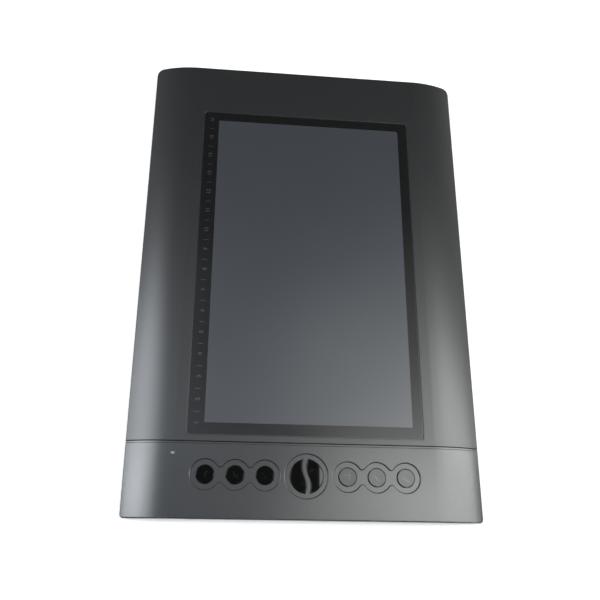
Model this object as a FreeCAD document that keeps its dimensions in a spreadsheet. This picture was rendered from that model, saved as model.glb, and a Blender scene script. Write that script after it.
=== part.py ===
import FreeCAD, Part
import math
import os

import Sketcher

# A flat graphics tablet without a screen. X runs across the tablet, Y along it and Z up.
# The origin is at the middle of its footprint, on the surface that it stands on.
# The keys are at the -Y end. Lengths are millimetres.

doc = FreeCAD.newDocument("graphics_tablet")
sheet = doc.addObject("Spreadsheet::Sheet", "sizes")

# Driving dimensions

DRIVING = (
    # Casing outline
    ("tablet_width", 245.0, "overall size along X"),
    ("tablet_length", 353.1, "overall size along Y"),
    ("tablet_height", 10.0, "surface underneath to the flat top"),
    ("near_corner_radius", 2.7, "corners of the key end seen from above"),
    ("far_corner_radius", 5.5, "corners of the far end seen from above"),
    ("roll_width", 33.0, "rolled-down strip along each long side"),
    ("edge_height", 2.6, "top of the thin long edges"),
    ("rim_round", 0.8, "rounding along the outer rim of the top covers"),
    ("cover_wall", 2.0, "wall of the two top covers"),
    ("stand_off", 1.0, "gap under the rear cover, held by the feet"),
    ("flange_thickness", 0.9, "visible edge of the rear cover"),
    ("plate_rise", 0.7, "rise of the rear cover inside the top covers' wall"),
    ("rear_round", 0.5, "rounding along the bottom edge of the rear cover"),
    ("fit_gap", 0.3, "clearance between pieces that slip together"),
    # Seam between the key panel and the front cover
    ("seam_from_end", 48.85, "key end to the seam channel"),
    ("seam_width", 1.3, "channel between the two top covers"),
    ("seam_depth", 0.5, "depth of that channel"),
    ("seam_round", 0.45, "rounding on both lips of the channel"),
    # Overlay sheet and its seat
    ("sheet_width", 162.7, "overlay sheet along X"),
    ("sheet_length", 255.2, "overlay sheet along Y"),
    ("sheet_shift", 0.25, "overlay sheet's middle, right of the tablet's"),
    ("sheet_from_end", 55.1, "key end to the overlay sheet"),
    ("sheet_radius", 2.0, "corners of the overlay sheet"),
    ("sheet_gap", 0.6, "gap round the overlay sheet"),
    ("sheet_thickness", 0.4, "overlay sheet, at the drawing area"),
    ("border_step", 0.1, "printed border below the drawing area"),
    ("adhesive_thickness", 0.1, "film under the overlay sheet"),
    ("seat_depth", 0.6, "seat of the sheet below the flat top"),
    ("seat_round", 0.35, "rounding on the edge of that seat"),
    ("area_left", 11.1, "sheet's left edge to the drawing area"),
    ("area_right", 7.1, "drawing area to the sheet's right edge"),
    ("area_near", 7.7, "sheet's near edge to the drawing area"),
    ("area_far", 7.2, "drawing area to the sheet's far edge"),
    # Keys
    ("key_row", 28.45, "key end to the row of keys"),
    ("first_key", 28.0, "middle of the tablet to the nearest round key"),
    ("key_pitch", 20.0, "from one round key to the next"),
    ("key_hole_radius", 6.15, "hole of a round key"),
    ("key_gap", 0.25, "gap round each key cap"),
    ("key_below_top", 0.1, "top of the key caps below the flat top"),
    ("key_rim_round", 0.22, "rounding round the top of a key cap"),
    ("key_flange", 1.0, "flange of a cap beyond its outline"),
    ("key_flange_thickness", 0.7, "thickness of that flange"),
    ("key_play", 0.3, "flange below the panel's ceiling"),
    ("key_travel", 0.4, "how far a key goes down"),
    ("stem_radius", 1.8, "post under a key cap"),
    ("recess_depth", 1.0, "shallow recess round the keys"),
    ("recess_radius", 9.8, "recess about a round key"),
    ("neck_half", 4.6, "half width of the recess between two keys"),
    ("ring_radius", 14.5, "recess about the pair of half keys"),
    ("ring_hole_radius", 11.3, "hole of the pair of half keys"),
    ("bar_width", 3.0, "S-shaped bar between the half keys"),
    ("bar_bulge", 1.45, "sideways swing of the S-shaped bar"),
    ("bar_reach", 6.3, "middle of the bar to its widest swing"),
    ("half_key_stem", 5.6, "middle of the pair to a half key's post"),
    ("bar_flange", 0.6, "flange of a half key under the S-shaped bar"),
    ("recess_round", 0.7, "rounding on the edge of the recess"),
    ("hole_round", 0.35, "rounding on the edge of the keyholes and the bar"),
    # Status lamp
    ("lamp_from_side", 32.5, "left side to the status lamp"),
    ("lamp_from_end", 42.1, "key end to the status lamp"),
    ("lens_width", 2.8, "status lamp along X"),
    ("lens_depth", 1.5, "status lamp along Y"),
    ("lens_below_top", 0.1, "status lamp below the flat top"),
    ("lens_flange", 0.8, "flange that holds the lens, each side"),
    ("lens_play", 0.15, "lens flange below the panel's ceiling"),
    ("diode_width", 1.6, "lamp diode along X"),
    ("diode_depth", 0.8, "lamp diode along Y"),
    ("diode_height", 0.6, "lamp diode"),
    # Sensor stack under the front cover
    ("sensor_beyond", 1.9, "sensor board beyond the overlay sheet at its sides and far end"),
    ("sensor_tail", 3.6, "sensor board beyond the overlay sheet at its near end"),
    ("sensor_thickness", 0.8, "sensor board"),
    ("film_thickness", 0.1, "insulating film"),
    ("shield_thickness", 0.3, "steel shield plate"),
    ("shield_inset", 2.0, "shield plate inside the sensor board's sides"),
    ("shield_from_tail", 8.5, "near edge of the sensor board to the shield plate"),
    ("pad_side", 14.0, "foam pad, square"),
    # Rear cover
    ("rib_width", 1.2, "ribs of the rear cover"),
    ("rib_height", 1.4, "ribs of the rear cover above its plate"),
    ("rib_from_shield", 10.0, "shield plate's ends to the first and last cross rib"),
    ("rib_from_side", 19.0, "shield plate's sides to the outer lengthwise ribs"),
    ("rib_tail", 14.0, "ribs beyond the outer foam pads' middles"),
    ("tower_radius", 4.0, "screw tower in the rear cover"),
    ("tower_height", 2.0, "screw tower above the rear cover's plate"),
    # Screws
    ("case_screw_radius", 1.0, "shank of a case screw"),
    ("case_head_radius", 1.9, "head of a case screw"),
    ("case_head_height", 1.3, "head of a case screw"),
    ("case_screw_depth", 2.0, "depth of the screw's pocket in the rear cover"),
    ("case_screw_grip", 2.2, "shank inside the boss of a top cover"),
    ("hole_gap", 0.2, "clearance round a screw in its hole"),
    ("thread_gap", 0.05, "clearance round a screw in its boss"),
    ("boss_radius", 3.0, "screw boss of a top cover"),
    ("side_screw_inset", 16.5, "long side to the side screws"),
    ("front_screw_first", 20.0, "seam to the front cover's first side screws"),
    ("front_screw_last", 48.0, "far end to the front cover's last side screws"),
    ("end_screw", 50.0, "middle of the tablet to the far screws"),
    ("end_screw_from_far", 18.0, "far end to the far screws"),
    ("panel_screw_inset", 18.5, "long side to the panel's screws"),
    ("cross_width", 0.5, "arms of a screw's cross recess"),
    ("cross_depth", 0.6, "depth of a screw's cross recess"),
    ("cross_beyond", 0.2, "arms of the cross recess beyond the shank's radius"),
    ("panel_screw_near", 10.0, "key end to the panel's first screws"),
    ("panel_screw_far", 42.0, "key end to the panel's other screws"),
    # Main board
    ("board_from_tower", 5.0, "main board's sides to the screw towers"),
    ("board_near", 3.0, "key end to the main board"),
    ("board_far", 46.0, "key end to the main board's far edge"),
    ("board_thickness", 1.0, "main board"),
    ("post_height", 1.0, "posts under the main board"),
    ("post_radius", 2.6, "posts under the main board"),
    ("board_screw_radius", 0.8, "shank of a board screw"),
    ("board_head_radius", 1.7, "head of a board screw"),
    ("board_head_height", 1.1, "head of a board screw"),
    ("board_screw_grip", 1.8, "shank below the main board"),
    ("board_screw_near", 5.0, "near edge of the main board to its near screws"),
    ("board_screw_far", 6.0, "far edge of the main board to its far screws"),
    ("board_screw_side", 9.0, "sides of the main board to its near corner screws"),
    ("board_screw_far_side", 15.0, "sides of the main board to its far corner screws"),
    ("board_screw_middle", 20.0, "middle of the main board to its middle screws"),
    ("switch_side", 6.0, "tactile switch, square"),
    ("switch_height", 1.5, "tactile switch"),
    ("plunger_radius", 1.5, "plunger of a tactile switch"),
    ("plunger_gap", 0.15, "clearance round the plunger"),
    ("plunger_proud", 0.5, "plunger above the switch"),
    ("plunger_root", 0.7, "plunger inside the switch"),
    ("chip_side", 10.0, "controller chip, square"),
    ("chip_height", 1.2, "controller chip"),
    ("chip_from_middle", 45.0, "controller chip left of the middle"),
    ("chip_from_end", 13.0, "key end to the controller chip"),
    ("multiplexer_length", 10.0, "multiplexer chip along X"),
    ("multiplexer_width", 5.2, "multiplexer chip along Y"),
    ("multiplexer_height", 1.5, "multiplexer chip"),
    ("multiplexer_first", 36.0, "middle of the main board to the nearest multiplexer"),
    ("multiplexer_pitch", 20.0, "from one multiplexer to the next"),
    ("crystal_length", 5.0, "crystal along X"),
    ("crystal_width", 3.2, "crystal along Y"),
    ("crystal_height", 1.1, "crystal"),
    ("capacitor_length", 2.0, "capacitor along X"),
    ("capacitor_width", 1.25, "capacitor along Y"),
    ("capacitor_height", 0.8, "capacitor"),
    ("capacitor_first", 30.0, "middle of the main board to the nearest capacitor"),
    ("capacitor_pitch", 6.0, "from one capacitor to the next"),
    # Ribbon between the two boards
    ("ribbon_width", 20.0, "flat ribbon"),
    ("ribbon_thickness", 0.3, "flat ribbon"),
    ("connector_wall", 2.0, "connector beyond the ribbon, each side"),
    ("connector_depth", 4.0, "ribbon connector along Y"),
    ("connector_height", 2.0, "ribbon connector"),
    ("slot_height", 0.5, "slot of a ribbon connector"),
    ("ribbon_engagement", 2.5, "ribbon inside each connector"),
    # USB socket
    ("socket_from_side", 47.5, "left side to the middle of the socket"),
    ("socket_width", 7.7, "socket shell along X"),
    ("socket_height", 3.9, "socket shell"),
    ("socket_length", 9.2, "socket shell along Y"),
    ("socket_wall", 0.4, "sheet metal of the socket shell"),
    ("socket_inset", 0.3, "socket's mouth inside the casing's end"),
    ("socket_sink", 0.5, "socket shell below the main board"),
    ("socket_tab_width", 2.4, "solder tab beside the socket"),
    ("socket_tab_length", 3.2, "solder tab along Y"),
    ("socket_tab_near", 1.6, "near edge of the main board to the solder tabs"),
    ("tongue_width", 4.6, "tongue of the socket"),
    ("tongue_thickness", 0.8, "tongue of the socket"),
    ("tongue_length", 5.6, "tongue of the socket"),
    ("socket_back", 1.6, "insulating block behind the tongue"),
    ("contact_width", 0.3, "socket contact"),
    ("contact_thickness", 0.15, "socket contact"),
    ("contact_pitch", 0.8, "from one contact to the next"),
    ("contact_beyond", 1.6, "contact behind the socket"),
    ("contact_foot", 0.9, "contact's soldered end"),
    # Feet
    ("foot_length", 18.0, "rubber foot along X"),
    ("foot_width", 8.0, "rubber foot along Y"),
    ("foot_radius", 3.5, "corners of a rubber foot"),
    ("foot_seat", 0.3, "depth of a foot in the rear cover"),
    ("foot_from_side", 24.0, "long side to the middle of a foot"),
    ("foot_from_end", 24.0, "end to the middle of a foot"),
)

for row, (alias, value, note) in enumerate(DRIVING, start=1):
    sheet.set(f"A{row}", alias)
    sheet.set(f"B{row}", str(value))
    sheet.setAlias(f"B{row}", alias)
    sheet.set(f"C{row}", note)
doc.recompute()


class Dim:
    """A length of the sheet or one worked out from several: its expression and its value."""

    def __init__(self, text, value):
        self.text = text
        self.value = value

    def join(self, sign, other, value):
        return Dim(f"({self.text} {sign} {dim(other).text})", value)

    def __add__(self, other):
        return self.join("+", other, self.value + dim(other).value)

    def __sub__(self, other):
        return self.join("-", other, self.value - dim(other).value)

    def __mul__(self, other):
        return self.join("*", other, self.value * dim(other).value)

    def __truediv__(self, other):
        return self.join("/", other, self.value / dim(other).value)

    def __rsub__(self, other):
        return dim(other) - self

    def __neg__(self):
        return Dim(f"(0 - {self.text})", -self.value)

    __radd__ = __add__
    __rmul__ = __mul__


def dim(value):
    """Take a plain number as a length too."""
    if isinstance(value, Dim):
        return value
    return Dim(f"({float(value)})", float(value))


def root(value):
    return Dim(f"sqrt({value.text})", math.sqrt(value.value))


class Cells:
    """Reads a driving dimension by its alias."""

    def __getattr__(self, alias):
        return Dim(f"sizes.{alias}", float(sheet.get(alias)))


s = Cells()

# Heights and places that several pieces share

half_width = s.tablet_width / 2
half_length = s.tablet_length / 2
key_end = -half_length
far_end = half_length
crown = s.tablet_height
ceiling = crown - s.cover_wall
parting = s.stand_off + s.flange_thickness
plate_top = parting + s.plate_rise
flat_half = half_width - s.roll_width
edge_drop = crown - s.edge_height
roll_radius = (s.roll_width * s.roll_width + edge_drop * edge_drop) / (2 * edge_drop)
seam_near = key_end + s.seam_from_end
seam_far = seam_near + s.seam_width
side_screw_x = half_width - s.side_screw_inset
panel_screw_x = half_width - s.panel_screw_inset
board_half = panel_screw_x - s.tower_radius - s.board_from_tower
board_near = key_end + s.board_near
board_far = key_end + s.board_far
lamp_x = s.lamp_from_side - half_width
lamp_y = key_end + s.lamp_from_end
board_bottom = plate_top + s.post_height
board_top = board_bottom + s.board_thickness
keys_y = key_end + s.key_row
recess_floor = crown - s.recess_depth
sensor_bottom = ceiling - s.sensor_thickness
film_bottom = sensor_bottom - s.film_thickness
shield_bottom = film_bottom - s.shield_thickness
rib_top = plate_top + s.rib_height
screw_seat = s.stand_off + s.case_screw_depth
boss_bottom = plate_top + s.tower_height
ribbon_middle = board_top + s.connector_height / 2 + s.ribbon_thickness / 2

# Helpers for bodies and sketches


def bind(thing, prop, length):
    """Tie one property of an object to the sheet."""
    thing.setExpression(prop, dim(length).text)


def plane_of(body, role):
    for feature in body.Origin.OriginFeatures:
        if feature.Role == role:
            return feature
    raise ValueError(role)


def new_body(name):
    return doc.addObject("PartDesign::Body", name)


def sketch_on(body, name, role, offset):
    """A sketch on one origin plane of the body, moved along that plane's normal."""
    sketch = body.newObject("Sketcher::SketchObject", name)
    sketch.AttachmentSupport = [(plane_of(body, role), "")]
    sketch.MapMode = "FlatFace"
    bind(sketch, "AttachmentOffset.Base.z", offset)
    return sketch


def fix(sketch, kind, places, length):
    """Add a measured constraint to a sketch and tie it to the sheet."""
    index = sketch.addConstraint(Sketcher.Constraint(kind, *places, dim(length).value))
    name = f"size_{index}"
    sketch.renameConstraint(index, name)
    sketch.setExpression(f"Constraints.{name}", dim(length).text)


def add_outline(sketch, corners, radius=None):
    """Draw a closed outline of level and upright lines, counter-clockwise.

    Each corner is x, y and False where it is sharp, True where it has the outline's radius,
    or a radius of its own.
    """
    count = len(corners)
    points = [FreeCAD.Vector(dim(x).value, dim(y).value, 0) for x, y, rounded in corners]
    radii = [radius if rounded is True else rounded for x, y, rounded in corners]
    lines = []
    for i in range(count):
        ahead = (points[(i + 1) % count] - points[i]).normalize()
        here = radii[i]
        after = radii[(i + 1) % count]
        trim_here = ahead * here.value if here else FreeCAD.Vector()
        trim_next = ahead * after.value if after else FreeCAD.Vector()
        start = points[i] + trim_here
        stop = points[(i + 1) % count] - trim_next
        lines.append(sketch.addGeometry(Part.LineSegment(start, stop), False))
        level = abs(ahead.x) > abs(ahead.y)
        sketch.addConstraint(Sketcher.Constraint("Horizontal" if level else "Vertical", lines[i]))
    first_arcs = {}
    for i in range(count):
        before = lines[i - 1]
        if not radii[i]:
            sketch.addConstraint(Sketcher.Constraint("Coincident", before, 2, lines[i], 1))
            continue
        inward = (points[i] - points[i - 1]).normalize()
        outward = (points[(i + 1) % count] - points[i]).normalize()
        centre = points[i] + (outward - inward) * radii[i].value
        begin = math.atan2(-outward.y, -outward.x)
        circle = Part.Circle(centre, FreeCAD.Vector(0, 0, 1), radii[i].value)
        arc = sketch.addGeometry(Part.ArcOfCircle(circle, begin, begin + math.pi / 2), False)
        sketch.addConstraint(Sketcher.Constraint("Tangent", before, 2, arc, 1))
        sketch.addConstraint(Sketcher.Constraint("Tangent", arc, 2, lines[i], 1))
        if radii[i].text in first_arcs:
            sketch.addConstraint(Sketcher.Constraint("Equal", first_arcs[radii[i].text], arc))
        else:
            first_arcs[radii[i].text] = arc
            fix(sketch, "Radius", (arc,), radii[i])
    for i in range(count):
        ahead = points[(i + 1) % count] - points[i]
        if abs(ahead.x) > abs(ahead.y):
            fix(sketch, "DistanceY", (-1, 1, lines[i], 1), corners[i][1])
        else:
            fix(sketch, "DistanceX", (-1, 1, lines[i], 1), corners[i][0])


def add_circles(sketch, centres, radius):
    first = None
    for x, y in centres:
        middle = FreeCAD.Vector(dim(x).value, dim(y).value, 0)
        circle = Part.Circle(middle, FreeCAD.Vector(0, 0, 1), dim(radius).value)
        index = sketch.addGeometry(circle, False)
        fix(sketch, "DistanceX", (-1, 1, index, 3), x)
        fix(sketch, "DistanceY", (-1, 1, index, 3), y)
        if first is None:
            first = index
            fix(sketch, "Radius", (index,), radius)
        else:
            sketch.addConstraint(Sketcher.Constraint("Equal", first, index))


def rectangle(left, right, near, far, rounded=False):
    """The four corners of an upright rectangle."""
    return [(left, near, rounded), (right, near, rounded), (right, far, rounded), (left, far, rounded)]


def centred(x, y, along, across, rounded=False):
    return rectangle(x - along / 2, x + along / 2, y - across / 2, y + across / 2, rounded)


def pad(body, sketch, length, name):
    feature = body.newObject("PartDesign::Pad", name)
    feature.Profile = sketch
    bind(feature, "Length", length)
    return feature


def pocket(body, sketch, length, name, upward=False):
    """Cut down from the sketch, or up into what stands above it, and make sure that it cuts."""
    doc.recompute()
    before = body.Shape.Volume
    feature = body.newObject("PartDesign::Pocket", name)
    feature.Profile = sketch
    feature.Reversed = upward
    bind(feature, "Length", length)
    doc.recompute()
    if body.Shape.Volume >= before:
        raise ValueError(f"{name} cuts nothing")
    return feature


def plate(name, corners, low, high, radius=None):
    """A flat plate with the given outline, as a body of its own."""
    body = new_body(name)
    sketch = sketch_on(body, f"{name}_outline", "XY_Plane", low)
    add_outline(sketch, corners, radius)
    pad(body, sketch, high - low, f"{name}_pad")
    return body


def block(name, left, right, near, far, low, high):
    """A rectangular block between six planes."""
    box = doc.addObject("Part::Box", name)
    bind(box, "Length", right - left)
    bind(box, "Width", far - near)
    bind(box, "Height", high - low)
    bind(box, "Placement.Base.x", left)
    bind(box, "Placement.Base.y", near)
    bind(box, "Placement.Base.z", low)
    return box


def disc(name, x, y, low, high, radius):
    """An upright cylinder."""
    cylinder = doc.addObject("Part::Cylinder", name)
    bind(cylinder, "Radius", radius)
    bind(cylinder, "Height", high - low)
    bind(cylinder, "Placement.Base.x", x)
    bind(cylinder, "Placement.Base.y", y)
    bind(cylinder, "Placement.Base.z", low)
    return cylinder


def fuse(name, shapes):
    joined = doc.addObject("Part::MultiFuse", name)
    joined.Shapes = shapes
    return joined


def cut(name, base, tool):
    result = doc.addObject("Part::Cut", name)
    result.Base = base
    result.Tool = tool
    return result


def common(name, base, tool):
    result = doc.addObject("Part::Common", name)
    result.Base = base
    result.Tool = tool
    return result


def group(name, shapes):
    """Identical small pieces kept as separate solids under one name."""
    compound = doc.addObject("Part::Compound", name)
    compound.Links = shapes
    return compound


def rounded_edges(name, base, radius, wanted):
    """A body that takes over a finished solid and rounds the edges that the test picks."""
    doc.recompute()
    body = new_body(name)
    body.BaseFeature = base
    doc.recompute()
    round_body_edges(body, radius, wanted, f"{name}_round")
    return body


def round_body_edges(body, radius, wanted, name):
    doc.recompute()
    edges = [f"Edge{i}" for i, edge in enumerate(body.Shape.Edges, start=1) if wanted(edge)]
    if not edges:
        raise ValueError(f"{name} finds no edges")
    base = body.Tip
    feature = body.newObject("PartDesign::Fillet", name)
    feature.Base = (base, edges)
    bind(feature, "Radius", radius)
    body.Tip = feature
    doc.recompute()
    return feature


def middle_of(edge):
    return edge.valueAt((edge.FirstParameter + edge.LastParameter) / 2)


def near_to(value, target):
    return abs(value - dim(target).value) < 0.001


finished = []


def keep(piece, name):
    """Name a finished piece and put it on the list of what is written."""
    piece.Label = name
    finished.append(piece)
    return piece


# The rolled top, shared by both top covers


def roll_height(x, inset):
    """Height of the rolled strip at a distance x from the middle, moved inward by the inset."""
    reach = x - flat_half
    return crown - roll_radius + root((roll_radius - inset) * (roll_radius - inset) - reach * reach)


def arch_reach(low, inset):
    """How far the rolled strip, moved inward by the inset, reaches out at the height low."""
    rise = roll_radius - crown + low
    return flat_half + root((roll_radius - inset) * (roll_radius - inset) - rise * rise)


def add_roll_arc(sketch, side, inset, end_x, end_z):
    """One rolled strip in a lengthwise sketch plane, from the flat top out to the given end."""
    centre = FreeCAD.Vector(side * flat_half.value, (crown - roll_radius).value, 0)
    radius = roll_radius - inset
    circle = Part.Circle(centre, FreeCAD.Vector(0, 0, 1), radius.value)
    reach = math.atan2(end_z.value - centre.y, abs(end_x.value) - flat_half.value)
    if side > 0:
        arc = Part.ArcOfCircle(circle, reach, math.pi / 2)
    else:
        arc = Part.ArcOfCircle(circle, math.pi / 2, math.pi - reach)
    outer = 1 if side > 0 else 2
    inner = 2 if side > 0 else 1
    index = sketch.addGeometry(arc, False)
    fix(sketch, "DistanceX", (-1, 1, index, 3), side * flat_half)
    fix(sketch, "DistanceY", (-1, 1, index, 3), crown - roll_radius)
    fix(sketch, "Radius", (index,), radius)
    sketch.addConstraint(Sketcher.Constraint("Vertical", index, 3, index, inner))
    return index, outer, inner


def cut_roll(body, name, side):
    """Cut the waste above one rolled strip off a body with a flat top."""
    sketch = sketch_on(body, f"{name}_sketch", "XZ_Plane", dim(0))
    beyond = half_width + s.cover_wall
    beyond_z = roll_height(beyond, dim(0))
    arc, outer, inner = add_roll_arc(sketch, side, dim(0), beyond, beyond_z)
    start = FreeCAD.Vector(side * beyond.value, beyond_z.value, 0)
    corner = FreeCAD.Vector(side * beyond.value, crown.value, 0)
    flat = FreeCAD.Vector(side * flat_half.value, crown.value, 0)
    upright = sketch.addGeometry(Part.LineSegment(start, corner), False)
    level = sketch.addGeometry(Part.LineSegment(corner, flat), False)
    sketch.addConstraint(Sketcher.Constraint("Coincident", arc, outer, upright, 1))
    sketch.addConstraint(Sketcher.Constraint("Coincident", upright, 2, level, 1))
    sketch.addConstraint(Sketcher.Constraint("Coincident", level, 2, arc, inner))
    sketch.addConstraint(Sketcher.Constraint("Vertical", upright))
    fix(sketch, "DistanceX", (-1, 1, upright, 1), side * beyond)
    fix(sketch, "DistanceY", (-1, 1, upright, 2), crown)
    doc.recompute()
    before = body.Shape.Volume
    feature = body.newObject("PartDesign::Pocket", name)
    feature.Profile = sketch
    feature.Type = "ThroughAll"
    feature.Midplane = True
    doc.recompute()
    if body.Shape.Volume >= before:
        raise ValueError(f"{name} cuts nothing")


def arch_sketch(body, name, near, inset):
    """The space under the rolled top, moved inward by the inset, down to the parting plane."""
    sketch = sketch_on(body, name, "XZ_Plane", -near)
    reach = arch_reach(parting, inset)
    right, right_out, right_in = add_roll_arc(sketch, 1, inset, reach, parting)
    left, left_out, left_in = add_roll_arc(sketch, -1, inset, -reach, parting)
    top = (crown - inset).value
    low = parting.value
    flat = flat_half.value
    roof = sketch.addGeometry(
        Part.LineSegment(FreeCAD.Vector(flat, top, 0), FreeCAD.Vector(-flat, top, 0)), False)
    floor = sketch.addGeometry(
        Part.LineSegment(FreeCAD.Vector(-reach.value, low, 0), FreeCAD.Vector(reach.value, low, 0)), False)
    sketch.addConstraint(Sketcher.Constraint("Coincident", right, right_in, roof, 1))
    sketch.addConstraint(Sketcher.Constraint("Coincident", roof, 2, left, left_in))
    sketch.addConstraint(Sketcher.Constraint("Coincident", left, left_out, floor, 1))
    sketch.addConstraint(Sketcher.Constraint("Coincident", floor, 2, right, right_out))
    sketch.addConstraint(Sketcher.Constraint("Horizontal", floor))
    fix(sketch, "DistanceY", (-1, 1, floor, 1), parting)
    return sketch


def hollow(body, near, far):
    """Cut the inside out of a top cover between two planes across the tablet."""
    sketch = arch_sketch(body, f"{body.Name}_inside", near, s.cover_wall)
    return pocket(body, sketch, far - near, f"{body.Name}_hollow")


def add_bosses(body, name, centres, top):
    sketch = sketch_on(body, f"{name}_outline", "XY_Plane", boss_bottom)
    add_circles(sketch, centres, s.boss_radius)
    pad(body, sketch, top - boss_bottom, name)
    holes = sketch_on(body, f"{name}_thread", "XY_Plane", boss_bottom)
    add_circles(holes, centres, s.case_screw_radius + s.thread_gap)
    pocket(body, holes, s.case_screw_grip + s.fit_gap, f"{name}_hole", upward=True)


def rim_edge(edge):
    """Edges between the top and the upright outer faces of a cover."""
    if edge.BoundBox.ZMin < parting.value + 0.01:
        return False
    point = middle_of(edge)
    inset = corner_inset(point)
    upright = edge.BoundBox.XLength < 0.001 and edge.BoundBox.YLength < 0.001
    return abs(inset) < 0.01 and not upright


def corner_inset(point):
    """Distance of a point inside the tablet's outline, seen from above."""
    radius = s.far_corner_radius.value if point.y > 0 else s.near_corner_radius.value
    from_side = half_width.value - abs(point.x)
    from_end = half_length.value - abs(point.y)
    if from_side < radius and from_end < radius:
        return radius - math.hypot(radius - from_side, radius - from_end)
    return min(from_side, from_end)


def screw_places():
    """The case screws: three pairs beside the sheet, one pair beyond it, two pairs in the panel."""
    first = seam_far + s.front_screw_first
    last = far_end - s.front_screw_last
    side = []
    for y in (first, (first + last) / 2, last):
        side += [(-side_screw_x, y), (side_screw_x, y)]
    end = [(-s.end_screw, far_end - s.end_screw_from_far), (s.end_screw, far_end - s.end_screw_from_far)]
    panel = []
    for from_end in (s.panel_screw_near, s.panel_screw_far):
        panel += [(-panel_screw_x, key_end + from_end), (panel_screw_x, key_end + from_end)]
    return side, end, panel


side_screws, end_screws, panel_screws = screw_places()

# Edges of the overlay sheet and of the sensor stack beneath it

sheet_left = s.sheet_shift - s.sheet_width / 2
sheet_right = s.sheet_shift + s.sheet_width / 2
sheet_near = key_end + s.sheet_from_end
sheet_far = sheet_near + s.sheet_length
sensor_left = sheet_left - s.sensor_beyond
sensor_right = sheet_right + s.sensor_beyond
sensor_near = sheet_near - s.sensor_tail
sensor_far = sheet_far + s.sensor_beyond
shield_left = sensor_left + s.shield_inset
shield_right = sensor_right - s.shield_inset
shield_near = sensor_near + s.shield_from_tail
shield_far = sensor_far - s.shield_inset
adhesive_bottom = crown - s.seat_depth
sheet_bottom = adhesive_bottom + s.adhesive_thickness
sheet_top = sheet_bottom + s.sheet_thickness


def make_front_cover():
    """The casing top round the overlay sheet, a thin shell with two rolled sides."""
    body = new_body("front_cover")
    outline = sketch_on(body, "front_cover_outline", "XY_Plane", parting)
    corners = [
        (-half_width, seam_far, False),
        (half_width, seam_far, False),
        (half_width, far_end, True),
        (-half_width, far_end, True),
    ]
    add_outline(outline, corners, s.far_corner_radius)
    pad(body, outline, crown - parting, "front_cover_blank")
    cut_roll(body, "front_cover_right_roll", 1)
    cut_roll(body, "front_cover_left_roll", -1)
    round_body_edges(body, s.rim_round, rim_edge, "front_cover_rim")
    round_body_edges(body, s.seam_round, lambda edge: lip_edge(edge, seam_far), "front_cover_lip")
    hollow(body, seam_far, far_end - s.cover_wall)
    seat = sketch_on(body, "sheet_seat_outline", "XY_Plane", crown)
    grow = s.sheet_gap
    seat_corners = rectangle(sheet_left - grow, sheet_right + grow, sheet_near - grow, sheet_far + grow, True)
    add_outline(seat, seat_corners, s.sheet_radius + grow)
    pocket(body, seat, s.seat_depth, "sheet_seat")
    round_body_edges(body, s.seat_round, seat_edge, "sheet_seat_rim")
    add_bosses(body, "side_bosses", side_screws, roll_height(side_screw_x, s.cover_wall / 2))
    add_bosses(body, "end_bosses", end_screws, crown - s.cover_wall / 2)
    return keep(body, "front_cover")


def seat_edge(edge):
    """Edges of the sheet's seat at the flat top."""
    box = edge.BoundBox
    if not (near_to(box.ZMin, crown) and near_to(box.ZMax, crown)):
        return False
    point = middle_of(edge)
    beside = sheet_left.value - 2 * s.sheet_gap.value < point.x < sheet_right.value + 2 * s.sheet_gap.value
    along = sheet_near.value - 2 * s.sheet_gap.value < point.y < sheet_far.value + 2 * s.sheet_gap.value
    return beside and along


def lip_edge(edge, y):
    """Top edges of a cover where it meets the seam channel."""
    box = edge.BoundBox
    return box.YLength < 0.001 and near_to(box.YMin, y) and box.ZMin > parting.value + 0.5


def make_panel_shell():
    """The casing top over the keys before its keyholes, with the lowered ledge of the seam."""
    body = new_body("panel_shell")
    outline = sketch_on(body, "panel_outline", "XY_Plane", parting)
    corners = [
        (-half_width, key_end, True),
        (half_width, key_end, True),
        (half_width, seam_near, False),
        (-half_width, seam_near, False),
    ]
    add_outline(outline, corners, s.near_corner_radius)
    pad(body, outline, crown - parting, "panel_blank")
    cut_roll(body, "panel_right_roll", 1)
    cut_roll(body, "panel_left_roll", -1)
    round_body_edges(body, s.rim_round, rim_edge, "panel_rim")
    round_body_edges(body, s.seam_round, lambda edge: lip_edge(edge, seam_near), "panel_lip")
    ledge = arch_sketch(body, "seam_ledge_outline", seam_far - s.fit_gap, s.seam_depth)
    pad(body, ledge, s.seam_width - s.fit_gap + s.seam_round, "seam_ledge")
    hollow(body, key_end + s.cover_wall, seam_far)
    add_bosses(body, "panel_bosses", panel_screws, roll_height(panel_screw_x, s.cover_wall / 2))
    return body


# The S-shaped bar between the half keys: two arcs that meet in the middle of the pair

bar_radius = (s.bar_bulge * s.bar_bulge + s.bar_reach * s.bar_reach) / (2 * s.bar_bulge)
bar_centre_x = bar_radius - s.bar_bulge
bar_centre_y = s.bar_reach


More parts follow.
